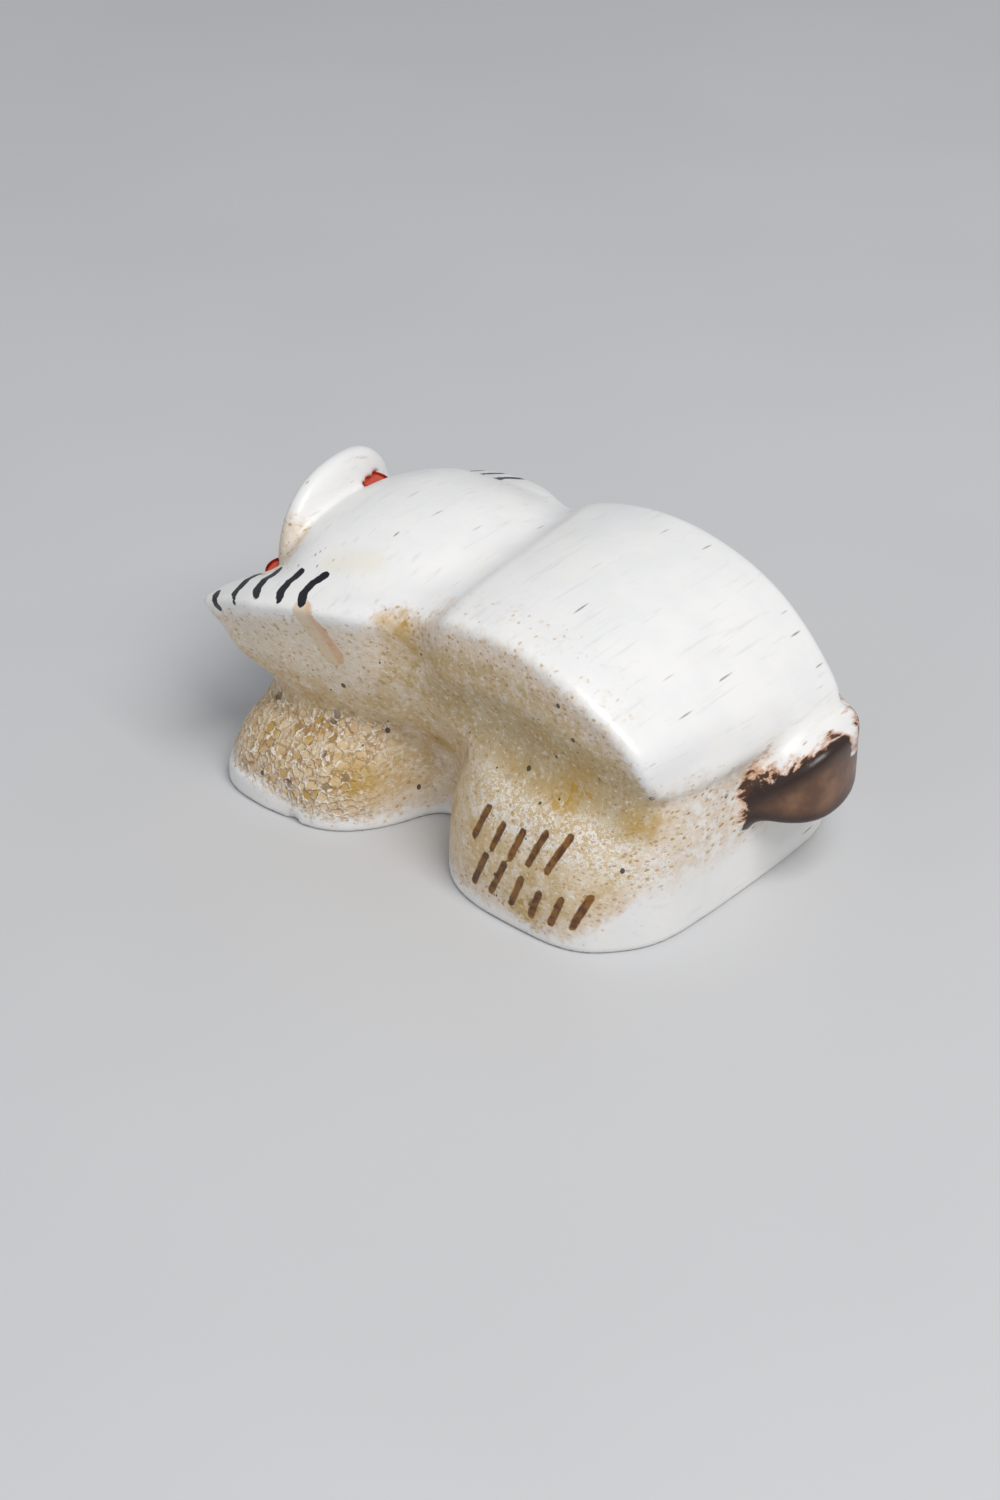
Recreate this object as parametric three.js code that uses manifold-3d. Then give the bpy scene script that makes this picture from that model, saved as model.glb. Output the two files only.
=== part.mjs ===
// A small animal carved from one thick slice of shed antler, with two
// round coral eyes let into its head. Millimetres, +Z up. The animal faces
// -Y, its left side is +X, and the origin is on its flat underside, below
// the middle of its length and width.
import * as THREE from 'three';
import Module from 'manifold-3d';
import { mergeVertices } from 'three/addons/utils/BufferGeometryUtils.js';

const wasm = await Module();
wasm.setup();

// Overall size of the carving.
const carvingLength = 53.3; // muzzle to tail
const carvingWidth = 33.8; // across the front feet
const carvingHeight = 26; // underside to the top of the muzzle

// The eyes, which are short coral rods with a rounded end.
const eyeDiameter = 3;
const eyeProud = 1.1; // how far the eye stands out of its socket
const eyeDepth = 1.5; // how far it goes in
const eyeRounding = 0.6;
const eyeClearance = 0.25; // between the eye and its socket
const socketMouth = 1.4; // room cleared above the eye
const eyeSides = 24;

// Spacing of the points that make up the carved surface.
const surfaceStep = 1.24;

// Every place in the form below is a share of the three overall sizes. It
// is written as it lies on a carving of the drawn size, whose waist is at
// y = -6 and whose middle is at y = drawn.middle.
const drawn = { width: 33.8, length: 53.3, height: 26, middle: -1.83 };
const placed = (x, y, z) => [
  (x * carvingWidth) / drawn.width,
  ((y - drawn.middle) * carvingLength) / drawn.length,
  (z * carvingHeight) / drawn.height,
];

const form = {
  back: {
    y: 2.5, z: 3.5, radius: 21.6, crown: 0.9, tilt: 0.012, halfWidth: 12.6, lean: 0.16, shoulder: 22, front: -6.6, skew: 0.14,
    rear: 19.8, rearSkew: -0.14, under: 12.4, edge: 1.1,
  },
  rump: {
    x: -2, y: 13, z: 6.2, halfWidth: 12.2, halfLength: 8, height: 13, power: 5, top: 17, fallFrom: 16, fall: 0.8,
    bow: 0.012, middle: -4.6, rear: 17.5, lean: 0.11, edge: 3,
  },
  haunch: { y: 8, front: 12.6, rear: 10.5, halfWidth: 16, height: 16.2, power: 3, planRear: 3.8 },
  foot: { y: -17, front: 10.9, rear: 9.6, halfWidth: 16.9, height: 10.5, power: 2.4, planFront: 4.6, planRear: 2.3 },
  core: { y: -5, halfLength: 17, bottom: 6.8, top: 11, height: 22, round: 3 },
  dome: { y: -16.2, z: 18.4, x: 12.3, length: 10.4, height: 7.2, power: 2.1, plan: 2.5 },
  cheek: { y: -17, z: 13.4, x: 12, length: 9.4, height: 7, power: 2.4 },
  muzzle: { x: 0.6, y: -26, z: 18.4, halfWidth: 8.2, length: 1.9, height: 7.7, power: 2.4, turn: 9 },
  chin: { y: -21.5, z: 11, x: 11.2, length: 6, height: 8, power: 2.4 },
  tail: {
    x: -6, near: 6.6, far: 8.3, root: 15, reach: 24.6, power: 2.3, top: 14.5, bottom: 7.4,
    nearBow: 0.1, farBow: 0.014, underBow: 0.02, dip: 0.1, edge: 1,
  },
  // Each side of the head is a wedge that ends in the horn: a bowed top, a
  // flat side that leans in below, and faces in front, below and inside.
  horn: {
    y: -12, top: 21.9, bow: 0.005, power: 2.4, fall: 0.32, at: 12.6, side: 15.6, from: -22, turn: 0.2, lean: 0.3, level: 19.5,
    front: 12.8, under: 11.2, rise: 0.4, inner: 13.6, tip: -30, taper: 0.62, rear: 3, rearX: 0.74, rearY: 0.68, rearEdge: 3, edge: 0.8,
  },
};

// How wide the fillet is where two parts of the form meet.
const fillet = {
  thigh: 2.6, hollow: 1.3, rump: 4, core: 4, foot: 3, front: 3, jaw: 3, skull: 2, muzzle: 1.2, cheek: 3, horn: 1.6, brow: 1.6,
  neck: 3, nape: 1.2, tail: 2.2,
};

// The side of the head under the horn.
const cheekPoints = [
  { x: 8, y: -9, z: 15.5, r: 2.8 },
  { x: 9.6, y: -20, z: 14.6, r: 4 },
  { x: 11.9, y: -25, z: 14.2, r: 1.8 },
];

// The swelling that holds the eyes.
const browPoints = [
  { x: 8.8, y: -24.4, z: 15.8, r: 2.9 },
  { x: 0, y: -25.6, z: 15, r: 3 },
  { x: -6.5, y: -25.6, z: 17, r: 2.9 },
];

// The valley between the head and the back.
const nape = [
  { x: -14, y: -10.6, z: 23.6, r: 1.9 },
  { x: -8, y: -8, z: 25.4, r: 1.9 },
  { x: 0, y: -6.4, z: 26.2, r: 1.9 },
  { x: 9, y: -5.8, z: 25.6, r: 1.9 },
  { x: 14, y: -5.6, z: 24.4, r: 1.9 },
];

// Hollows cut along each side.
const flankHollow = [
  { x: 13.4, y: -4, z: 15.8, r: 2 },
  { x: 13.7, y: 3, z: 15.7, r: 3.1 },
  { x: 13.7, y: 14, z: 14.3, r: 3.1 },
  { x: 13.6, y: 24, z: 12, r: 3.1 },
];

const blend = (a, b, k) => {
  const h = Math.max(k - Math.abs(a - b), 0) / k;
  return Math.min(a, b) - (h * h * k) / 4;
};
const cut = (a, b, k) => -blend(-a, -b, k);

// Distance to a rounded body about a centre. Powers above 2 square it up.
function rounded(dx, dy, dz, rx, ry, rz, power, plan = power) {
  const p = Math.pow(Math.pow(Math.abs(dx) / rx, plan) + Math.pow(Math.abs(dy) / ry, plan), 1 / plan);
  const q = Math.pow(Math.pow(p, power) + Math.pow(Math.abs(dz) / rz, power), 1 / power);
  const away = Math.hypot(dx, dy, dz);
  return q < 1e-6 ? -Math.min(rx, ry, rz) : away * (1 - 1 / q);
}

// Distance to a string of balls joined by cones.
function strand(x, y, z, points) {
  let nearest = Infinity;
  for (let i = 0; i + 1 < points.length; i++) {
    const a = points[i];
    const b = points[i + 1];
    const bx = b.x - a.x, by = b.y - a.y, bz = b.z - a.z;
    const t = Math.min(1, Math.max(0,
      ((x - a.x) * bx + (y - a.y) * by + (z - a.z) * bz) / (bx * bx + by * by + bz * bz)));
    const away = Math.hypot(x - a.x - bx * t, y - a.y - by * t, z - a.z - bz * t);
    nearest = Math.min(nearest, away - a.r - (b.r - a.r) * t);
  }
  return nearest;
}

// The form is drawn a little below the ground, so that the flat underside
// is one clean cut.
const below = 3;

// The wedge on each side of the head, from the cheek to the horn's tip.
function hornWedge(ax, y, z) {
  const { horn } = form;
  const top = z - horn.top + horn.bow * Math.abs(y - horn.y) ** horn.power + horn.fall * Math.max(ax - horn.at, 0);
  const side = ax - horn.side + horn.turn * Math.max(y - horn.from, 0) + horn.lean * (horn.level - z);
  const front = -y - z - horn.front;
  const under = horn.under - z + horn.rise * (ax - horn.at);
  const inner = horn.inner - horn.taper * (y - horn.tip) - ax;
  let wedge = cut(top, side / Math.hypot(1, horn.lean), horn.edge);
  wedge = cut(wedge, front / Math.SQRT2, horn.edge);
  wedge = cut(wedge, under / Math.hypot(1, horn.rise), horn.edge);
  wedge = cut(wedge, inner / Math.hypot(1, horn.taper), horn.edge);
  return cut(wedge, horn.rearX * ax + horn.rearY * y - horn.rear, horn.rearEdge);
}

// The back, haunches and front feet, with the waist between them.
function bodyForm(x, y, z, ax) {
  const { back, rump, haunch, foot, core } = form;
  const lift = back.crown * (1 - (x * x) / (back.halfWidth * back.halfWidth)) - back.tilt * x;
  let trunk = Math.hypot(y - back.y, z - back.z) - back.radius - lift;
  trunk = cut(trunk, ax - back.halfWidth + back.lean * Math.max(back.shoulder - z, 0), back.edge);
  trunk = cut(trunk, y - back.rear - back.rearSkew * x, back.edge);
  trunk = cut(trunk, back.under - z, back.edge);
  trunk = cut(trunk, back.front + back.skew * x - y, fillet.front);

  const behind = y > haunch.y;
  const thigh = rounded(x, y - haunch.y, z, haunch.halfWidth, behind ? haunch.rear : haunch.front, haunch.height, haunch.power,
    behind ? haunch.planRear : haunch.power);
  const ahead = y < foot.y;
  const paw = rounded(x, y - foot.y, z, foot.halfWidth, ahead ? foot.front : foot.rear, foot.height, foot.power,
    ahead ? foot.planFront : foot.planRear);

  const waist = core.bottom + (core.top - core.bottom) * Math.min(1, Math.max(0, z / core.height)) ** 2;
  const cx = Math.max(ax - waist + core.round, 0);
  const cy = Math.max(Math.abs(y - core.y) - core.halfLength + core.round, 0);
  const cz = Math.max(z - core.height + core.round, 0);
  const middle = Math.hypot(cx, cy, cz) - core.round;

  let seat = rounded(x - rump.x, y - rump.y, z - rump.z, rump.halfWidth, rump.halfLength, rump.height, rump.power);
  seat = cut(seat, z - rump.top + rump.fall * (y - rump.fallFrom) + rump.bow * (x - rump.middle) ** 2, rump.edge);
  seat = cut(seat, y - rump.rear - rump.lean * z, rump.edge);

  let body = blend(trunk, thigh, fillet.thigh);
  body = cut(body, -strand(ax, y, z, flankHollow), fillet.hollow);
  body = blend(body, seat, fillet.rump);
  body = blend(body, middle, fillet.core);
  return blend(body, paw, fillet.foot);
}

// The domed head with its cheeks, horns, muzzle and brow.
function headForm(x, y, z, ax) {
  const { dome, cheek, muzzle, chin } = form;
  const skull = rounded(x, y - dome.y, z - dome.z, dome.x, dome.length, dome.height, dome.power, dome.plan);
  const jowl = rounded(x, y - cheek.y, z - cheek.z, cheek.x, cheek.length, cheek.height, cheek.power);
  const turn = THREE.MathUtils.degToRad(muzzle.turn);
  const mx = (x - muzzle.x) * Math.cos(turn) + (y - muzzle.y) * Math.sin(turn);
  const my = (y - muzzle.y) * Math.cos(turn) - (x - muzzle.x) * Math.sin(turn);
  const nose = rounded(mx, my, z - muzzle.z, muzzle.halfWidth, muzzle.length, muzzle.height, muzzle.power);
  const jaw = rounded(x, y - chin.y, z - chin.z, chin.x, chin.length, chin.height, chin.power);
  let head = blend(jowl, jaw, fillet.jaw);
  head = blend(head, skull, fillet.skull);
  head = blend(head, nose, fillet.muzzle);
  head = blend(head, strand(ax, y, z, cheekPoints), fillet.cheek);
  head = blend(head, hornWedge(ax, y, z), fillet.horn);
  return blend(head, strand(x, y, z, browPoints), fillet.brow);
}

// The short tail, a flat stub whose top droops towards the left side.
function tailForm(x, y, z) {
  const { tail } = form;
  const tx = x - tail.x;
  const plan = rounded(tx, y - tail.root, 0, tx > 0 ? tail.near : tail.far, tail.reach - tail.root, 1, tail.power);
  const bow = (tx > 0 ? tail.nearBow : tail.farBow) * tx * tx;
  let stub = cut(plan, z - tail.top + bow + tail.dip * (tail.reach - y), tail.edge);
  stub = cut(stub, tail.bottom + tail.underBow * tx * tx - z, tail.edge);
  return cut(stub, tail.root - y, tail.edge);
}

// How softly the left side turns into the right one at the middle.
const midline = 0.447;

// Distance of a point from the carved surface: negative inside.
function carved(x, y, z) {
  const ax = Math.hypot(x, midline);
  let all = blend(bodyForm(x, y, z, ax), headForm(x, y, z, ax), fillet.neck);
  all = cut(all, -strand(x, y, z, nape), fillet.nape);
  all = blend(all, tailForm(x, y, z), fillet.tail);
  return Math.max(all, -below - z);
}

// Walks a grid and puts one point in each cell that the surface crosses,
// then joins the points of neighbouring cells.
function surfaceOf(field, low, high, step) {
  const n = low.map((v, i) => Math.ceil((high[i] - v) / step) + 1);
  const at = (i, j, k) => (k * n[1] + j) * n[0] + i;
  const value = new Float64Array(n[0] * n[1] * n[2]);
  for (let k = 0; k < n[2]; k++)
    for (let j = 0; j < n[1]; j++)
      for (let i = 0; i < n[0]; i++)
        value[at(i, j, k)] = field(low[0] + i * step, low[1] + j * step, low[2] + k * step);

  const points = [];
  const cell = new Map();
  for (let k = 0; k + 1 < n[2]; k++)
    for (let j = 0; j + 1 < n[1]; j++)
      for (let i = 0; i + 1 < n[0]; i++) {
        const sum = [0, 0, 0];
        let crossings = 0;
        for (let axis = 0; axis < 3; axis++)
          for (let u = 0; u < 2; u++)
            for (let v = 0; v < 2; v++) {
              const a = [0, 0, 0];
              a[(axis + 1) % 3] = u;
              a[(axis + 2) % 3] = v;
              const b = [...a];
              b[axis] = 1;
              const fa = value[at(i + a[0], j + a[1], k + a[2])];
              const fb = value[at(i + b[0], j + b[1], k + b[2])];
              if (fa < 0 === fb < 0) continue;
              const t = fa / (fa - fb);
              for (let c = 0; c < 3; c++) sum[c] += a[c] + (b[c] - a[c]) * t;
              crossings++;
            }
        if (!crossings) continue;
        const p = [i, j, k].map((g, c) => low[c] + (g + sum[c] / crossings) * step);
        cell.set(at(i, j, k), points.length);
        points.push(settle(field, p, step));
      }

  const index = [];
  for (let k = 1; k + 1 < n[2]; k++)
    for (let j = 1; j + 1 < n[1]; j++)
      for (let i = 1; i + 1 < n[0]; i++)
        for (let axis = 0; axis < 3; axis++) {
          const here = value[at(i, j, k)];
          const g = [i, j, k];
          g[axis] += 1;
          const next = value[at(...g)];
          if (here < 0 === next < 0) continue;
          const corner = (u, v) => {
            const c = [i, j, k];
            c[(axis + 1) % 3] -= u;
            c[(axis + 2) % 3] -= v;
            return cell.get(at(...c));
          };
          const q = [corner(1, 1), corner(0, 1), corner(0, 0), corner(1, 0)];
          if (here >= 0) q.reverse();
          index.push(q[0], q[1], q[2], q[0], q[2], q[3]);
        }
  return { points, index };
}

// Evens out the spacing of the points, keeping them on the surface. The
// last small step keeps points in a tight crease apart.
function evenOut(field, start, index, step) {
  let points = start;
  const beside = points.map(() => new Set());
  for (let i = 0; i < index.length; i += 3)
    for (const [a, b] of [[0, 1], [1, 2], [2, 0]]) {
      beside[index[i + a]].add(index[i + b]);
      beside[index[i + b]].add(index[i + a]);
    }
  const drawnTo = (share) => points.map((p, i) => {
    const mean = [0, 0, 0];
    for (const other of beside[i]) for (let c = 0; c < 3; c++) mean[c] += points[other][c] / beside[i].size;
    return p.map((v, c) => v + (mean[c] - v) * share);
  });
  for (let round = 0; round < 3; round++) points = drawnTo(0.5).map((p) => settle(field, p, step));
  return drawnTo(0.2);
}

// Moves a point onto the surface along the slope of the field, by no more
// than half a step.
function settle(field, start, step) {
  const p = [...start];
  const e = 0.05;
  for (let round = 0; round < 3; round++) {
    const f = field(...p);
    const slope = [0, 1, 2].map((c) => {
      const a = [...p];
      const b = [...p];
      a[c] += e;
      b[c] -= e;
      return (field(...a) - field(...b)) / (2 * e);
    });
    const size2 = slope.reduce((s, v) => s + v * v, 1e-9);
    for (let c = 0; c < 3; c++) {
      const limit = start[c] + step / 2;
      const floor = start[c] - step / 2;
      p[c] = Math.min(limit, Math.max(floor, p[c] - (f * slope[c]) / size2));
    }
  }
  return p;
}

function solidOf(geometry) {
  const plain = geometry.clone();
  plain.deleteAttribute('normal');
  plain.deleteAttribute('uv');
  const merged = mergeVertices(plain, 1e-4);
  return new wasm.Manifold(new wasm.Mesh({
    numProp: 3,
    vertProperties: new Float32Array(merged.attributes.position.array),
    triVerts: new Uint32Array(merged.index.array),
  }));
}

function geometryOf(solid) {
  const mesh = solid.getMesh();
  const geometry = new THREE.BufferGeometry();
  geometry.setAttribute('position', new THREE.BufferAttribute(Float32Array.from(mesh.vertProperties), 3));
  geometry.setIndex(new THREE.BufferAttribute(Uint32Array.from(mesh.triVerts), 1));
  geometry.computeVertexNormals();
  return geometry;
}

function netGeometry(points, index) {
  const geometry = new THREE.BufferGeometry();
  geometry.setAttribute('position', new THREE.Float32BufferAttribute(points.flat(), 3));
  geometry.setIndex(index);
  return geometry;
}

// Where two folds of the surface meet in one point, making a solid of the
// net gives each fold a point of its own, and evening out parts them.
// The grid reaches a little past the drawn size on every side.
const room = 0.6;
const low = [-drawn.width * room, drawn.middle - drawn.length * room, -below * 2];
const high = [drawn.width * room, drawn.middle + drawn.length * room, drawn.height * 2 * room];
const net = surfaceOf(carved, low, high, surfaceStep);
const parted = solidOf(netGeometry(net.points, net.index)).getMesh();
const partedPoints = [];
for (let i = 0; i < parted.vertProperties.length; i += 3) partedPoints.push([...parted.vertProperties.slice(i, i + 3)]);
const partedIndex = Array.from(parted.triVerts);
const evened = evenOut(carved, partedPoints, partedIndex, surfaceStep);
let carving = solidOf(netGeometry(evened.map((p) => placed(...p)), partedIndex));

const ground = new THREE.BoxGeometry(carvingWidth * 2, carvingLength * 2, carvingHeight);
ground.translate(0, 0, -carvingHeight / 2);
carving = carving.subtract(solidOf(ground));

// The eyes point up from the crease behind the muzzle. They were set by
// hand, so one sits lower and further out than the other.
const eyes = [
  { name: 'left_eye', at: [8.7, -24.7, 18], aim: [0.3, 0.1, 0.95] },
  { name: 'right_eye', at: [-3.7, -25.2, 20.3], aim: [-0.12, 0.2, 0.97] },
];

function eyeFrame(eye) {
  const aim = new THREE.Vector3(...eye.aim).normalize();
  const turn = new THREE.Quaternion().setFromUnitVectors(new THREE.Vector3(0, 1, 0), aim);
  const place = new THREE.Vector3(...placed(...eye.at));
  return { turn, place };
}

function eyeGeometry() {
  const r = eyeDiameter / 2;
  const points = [new THREE.Vector2(0, -eyeDepth), new THREE.Vector2(r, -eyeDepth)];
  const steps = 3;
  for (let i = 0; i <= steps; i++) {
    const a = (i / steps) * (Math.PI / 2);
    points.push(new THREE.Vector2(
      r - eyeRounding + eyeRounding * Math.cos(a),
      eyeProud - eyeRounding + eyeRounding * Math.sin(a)));
  }
  points.push(new THREE.Vector2(0, eyeProud));
  return new THREE.LatheGeometry(points, eyeSides);
}

function socketGeometry() {
  const depth = eyeDepth + eyeClearance;
  const height = depth + eyeProud + socketMouth;
  const tube = new THREE.CylinderGeometry(eyeDiameter / 2 + eyeClearance, eyeDiameter / 2 + eyeClearance, height, eyeSides);
  tube.translate(0, height / 2 - depth, 0);
  return tube;
}

const antler = new THREE.MeshStandardMaterial({ color: 0xe6ddcc, roughness: 0.5, metalness: 0 });
const coral = new THREE.MeshStandardMaterial({ color: 0xc0391f, roughness: 0.15, metalness: 0 });

const group = new THREE.Group();
for (const one of eyes) {
  const { turn, place } = eyeFrame(one);
  const socket = socketGeometry().applyQuaternion(turn).translate(place.x, place.y, place.z);
  carving = carving.subtract(solidOf(socket));
  const eye = new THREE.Mesh(geometryOf(solidOf(eyeGeometry())), coral);
  eye.name = one.name;
  eye.quaternion.copy(turn);
  eye.position.copy(place);
  group.add(eye);
}

const body = new THREE.Mesh(geometryOf(carving), antler);
body.name = 'carving';
group.add(body);

export default group;
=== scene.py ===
import math
from types import SimpleNamespace

import bpy
import numpy as np
from bpy.props import FloatProperty, FloatVectorProperty, PointerProperty
from bpy.types import Operator, Panel, PropertyGroup
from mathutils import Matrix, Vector


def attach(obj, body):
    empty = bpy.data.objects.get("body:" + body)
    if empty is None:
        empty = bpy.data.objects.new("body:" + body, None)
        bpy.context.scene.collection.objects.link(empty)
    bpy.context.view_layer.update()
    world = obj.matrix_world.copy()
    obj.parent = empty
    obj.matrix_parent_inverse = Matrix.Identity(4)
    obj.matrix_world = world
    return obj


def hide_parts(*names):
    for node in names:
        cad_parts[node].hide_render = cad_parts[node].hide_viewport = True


bl_info = {
    "name": "Carved antler animal",
    "version": (1, 0, 0),
    "blender": (4, 5, 0),
    "location": "3D Viewport > Sidebar > Antler animal",
    "description": "A small animal carved from a slice of antler, with coral eyes",
    "category": "Add Mesh",
}

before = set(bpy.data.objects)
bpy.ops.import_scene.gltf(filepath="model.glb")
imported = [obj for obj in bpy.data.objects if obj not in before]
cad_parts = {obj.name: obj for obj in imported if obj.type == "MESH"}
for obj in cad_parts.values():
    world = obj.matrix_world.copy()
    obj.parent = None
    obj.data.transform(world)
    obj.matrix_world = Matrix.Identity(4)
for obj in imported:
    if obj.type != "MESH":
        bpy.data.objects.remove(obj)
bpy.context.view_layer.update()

MM = 0.001

# The form, in millimetres, as it was drawn. The drawing's middle is at
# y = -1.83, and the model's is at y = 0.
MIDDLE = -1.83

BACK = dict(y=2.5, z=3.5, radius=21.6, crown=0.9, tilt=0.012, half_width=12.6, lean=0.16, lean_below=22,
            front=-6.6, skew=0.14, front_edge=3, rear=19.8, rear_skew=-0.14, under=12.4, tuck=2.6,
            tuck_span=(14.5, 18), edge=1.1)
RUMP = dict(x=-2, y=13, z=6.2, half_width=12.2, half_length=8, height=13, power=5, top=17.2, fall_from=16,
            fall=0.8, bow=0.012, middle=-4.6, rear=18.2, skew=-0.06, lean=0.1, edge=3.4)
HAUNCH = dict(y=8, front=12.6, rear=10.5, half_width=16, height=16.2, power=3, plan_rear=3.4)
FOOT = dict(y=-17, front=10.9, rear=9.6, half_width=16.9, height=10.5, power=2.4, plan_front=4.6,
            plan_rear=2.3)
CORE = dict(y=-5, half_length=17, bottom=6.8, top=11, height=22, round=3)
DOME = dict(y=-16.2, z=18.4, x=12.3, length=10.4, height=7.0, power=2.1, plan=2.5)
CHEEK = dict(y=-17, z=13.4, x=12, length=9.4, height=7, power=2.4)
MUZZLE = dict(x=0.6, y=-26, z=18.4, half_width=8.2, length=1.9, height=7.7, power=2.4, turn=9)
CHIN = dict(y=-21.5, z=11, x=11.2, length=6, height=8, power=2.4)
TAIL = dict(x=-6, near=6.6, far=8.3, root=15, reach=24.6, plan=2.3, top=14.5, bottom=7.4, near_bow=0.1,
            far_bow=0.014, under_bow=0.02, dip=0.1, edge=1.0)

# The fillet where each form joins the rest, or is cut into it.
FILLET = dict(thigh=2.6, flank=1.3, rump=4.6, waist=4, paw=3, jaw=3, skull=2, nose=1.2, cheek=3, horn=1.6,
              brow=1.6, head=3, nape=1.2, tail=2.2)

# The two sides meet over a small rounding in the middle. This is its square.
MIDLINE = 0.2

# Each side of the head is a wedge that ends in the horn: a bowed top, a
# flat side that leans in below, and faces in front, below and inside.
HORN = dict(y=-12, top=21.9, bow=0.005, power=2.4, fall=0.32, at=12.6, side=15.6, from_y=-22, turn=0.2,
            lean=0.3, level=19.5, front=12.8, under=11.2, rise=0.4, inner=13.6, tip=-30, taper=0.62,
            rear=3.0, rear_turn=(0.74, 0.68), rear_edge=3, edge=0.8)

# Strings of balls: x, y, z and radius of each.
CHEEK_BALLS = ((8, -9, 15.5, 2.8), (9.6, -20, 14.6, 4), (11.9, -25, 14.2, 1.8))
BROW_BALLS = ((8.8, -24.4, 15.8, 2.9), (0, -25.6, 15, 3), (-6.5, -25.6, 17, 2.9))
NAPE_BALLS = ((-14, -10.6, 23.6, 1.9), (-8, -8, 25.4, 1.9), (0, -6.4, 26.2, 1.9), (9, -5.8, 25.6, 1.9),
              (14, -5.6, 24.4, 1.9))
FLANK_BALLS = ((13.4, -4, 15.8, 2), (13.7, 3, 15.7, 3.1), (13.7, 14, 14.3, 3.1), (13.6, 24, 12, 3.1))

# The step that stands out along the base of the front feet: how far, the
# heights and the places along the carving between which it comes up. The
# chip in the base's left edge: x, y, z and radius of the ball taken out.
RIM = dict(out=0.22, height=(2.3, 1.9), along=(-17, -20))
CHIP = (17.3, -16.7, 0.1, 0.9)

# The black lines across each horn, the stain below the last line on the left
# one, and the faint line below the muzzle's top.
LINES = (
    ((14.0, -27.7, 17.8, 0), (14.5, -27.3, 17.7, 0), (14.9, -26.6, 17.1, 0)),
    ((11.4, -25.2, 19.7, 0), (13.0, -25.2, 19.4, 0), (14.2, -25.0, 18.8, 0), (14.9, -24.2, 18.6, 0)),
    ((10.9, -22.9, 20.4, 0), (12.4, -23.1, 20.4, 0), (13.8, -22.8, 20.0, 0), (14.8, -21.7, 19.6, 0)),
    ((11.4, -19.8, 21.7, 0), (12.5, -20.2, 21.3, 0), (13.7, -20.0, 20.8, 0), (14.6, -19.2, 20.3, 0)),
    ((11.2, -17.2, 22.4, 0), (12.2, -17.8, 21.9, 0), (13.4, -17.7, 21.4, 0), (14.3, -16.9, 20.9, 0)),
)
STAIN = ((14.3, -16.6, 20.4, 0), (13.4, -14.4, 16.6, 0))
PLATE_LINE = ((3.4, -25.8, 24.6, 0), (2, -25.6, 25.4, 0), (-1.1, -25.6, 25.6, 0), (-3.6, -25.5, 24.7, 0))

# Two rows of shallow slanted strokes on the left haunch, none quite like the
# one before it.
STROKES = dict(rows=(8.3, 3.9), first=3.6, gap=2.05, shift=0.5, count=(5, 6), length=2.9, slant=0.35,
               wobble=0.4, turns=(5.1, 2.3), longer=0.5, steeper=0.12, width=0.34, bottom=0.4,
               depth=0.16, side=(8, 9))

# Ochre patches: x, y, z and reach of each.
OCHRE_BALLS = ((11.5, -7.6, 20, 3.2), (12, -8.6, 22, 2.4), (13.5, 4, 14.6, 3.4), (13, 11, 13.6, 4),
               (11, 17.6, 12.2, 3.2), (13.6, -11.6, 4.6, 3.4), (7.8, -7, 8.5, 2.6), (15, 1.8, 11.2, 2.6),
               (15.8, 9.5, 2.2, 3), (-8, 16, 13, 3), (-13, -12, 6, 3))

# Where the spongy core comes up to the neck and to the back of the muzzle:
# x, y, z and reach of each.
CORE_BALLS = ((12.5, -8.2, 20.5, 2.8), (8.6, -25.2, 20.6, 3.4))

# The faint yellow stain on the dome.
DOME_STAIN = ((10.2, -17.5, 23.1, 0), (8.5, -13.8, 23.9, 0))

# Painted highlight: white sheen flecks on the top of the haunch and of the front foot, where the light falls.
PAINTED_SHEEN_BALLS = ((14.2, 2.5, 11, 0), (15, 7, 10.4, 0), (13.8, 13, 10, 0), (10.6, 18.2, 8, 0))

# Each eye: the middle of its socket's mouth, the way it points, and how much
# further than the other it stands out.
EYES = {
    "left_eye": ((8.7, -24.7, 18.0), (0.3, 0.1, 0.95), 0),
    "right_eye": ((-2.9, -25.1, 20.3), (-0.12, 0.2, 0.97), 1.4),
}
EYE_DEPTH = 1.5
SOCKET_CLEARANCE = 0.06
SOCKET_MOUTH = 0.2

# The corners of the grid that the surface is taken from. It starts this many
# steps below the underside.
GRID_LOW, GRID_HIGH = (-19, -31), (19, 27, 28.5)
STEPS_BELOW = 2.5

# How thick the white outer bone is over the spongy core: under the back's
# arc, under the horn's top, more at the rump and the seat, above the base,
# and on the far side. Inside this distance from the middle there is no core.
BONE = dict(back=0.4, horn=1.3, rump=3, seat=2.6, inside=8.2, base=2.2, base_less=1.1, base_rear=7,
            far_side=1.2)

# The edges of the brown skin on the tail and of its burnt fringe.
SKIN = dict(front=19.9, below=0.6, edge=0.3, far=-7.6, fringe_front=17.5, fringe_above=1.4, fringe_low=0.5)

# Where parts of the finish start and where they are complete, in millimetres
# along one axis of the drawing, or of depth or distance.
SPANS = dict(
    neck=(-9, -5), core_rear=(15, 18), core_deep=(2, 7), core_fade=(15, 21), core_inside=(20, 15),
    base_front=(-22, -12), base_rear=(13, 21.5), skin_far=(11.5, 13.5), fringe_far=(-5, -11),
    fringe_end=(-7, -8.6), coarse_front=(-9, -13), coarse_low=(10.5, 8), pale_front=(-9, -12),
    pale_high=(12, 14.5), calm_front=(-14, -10.5), calm_rear=(-1, -4.5), calm_low=(16, 12),
    groove_ochre_and_shade=(1.6, 0.1), painted_sheen=(3.4, 1.2), rear=(14, 18), rear_deep=(1, 3), rear_high=(4, 8),
)
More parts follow.
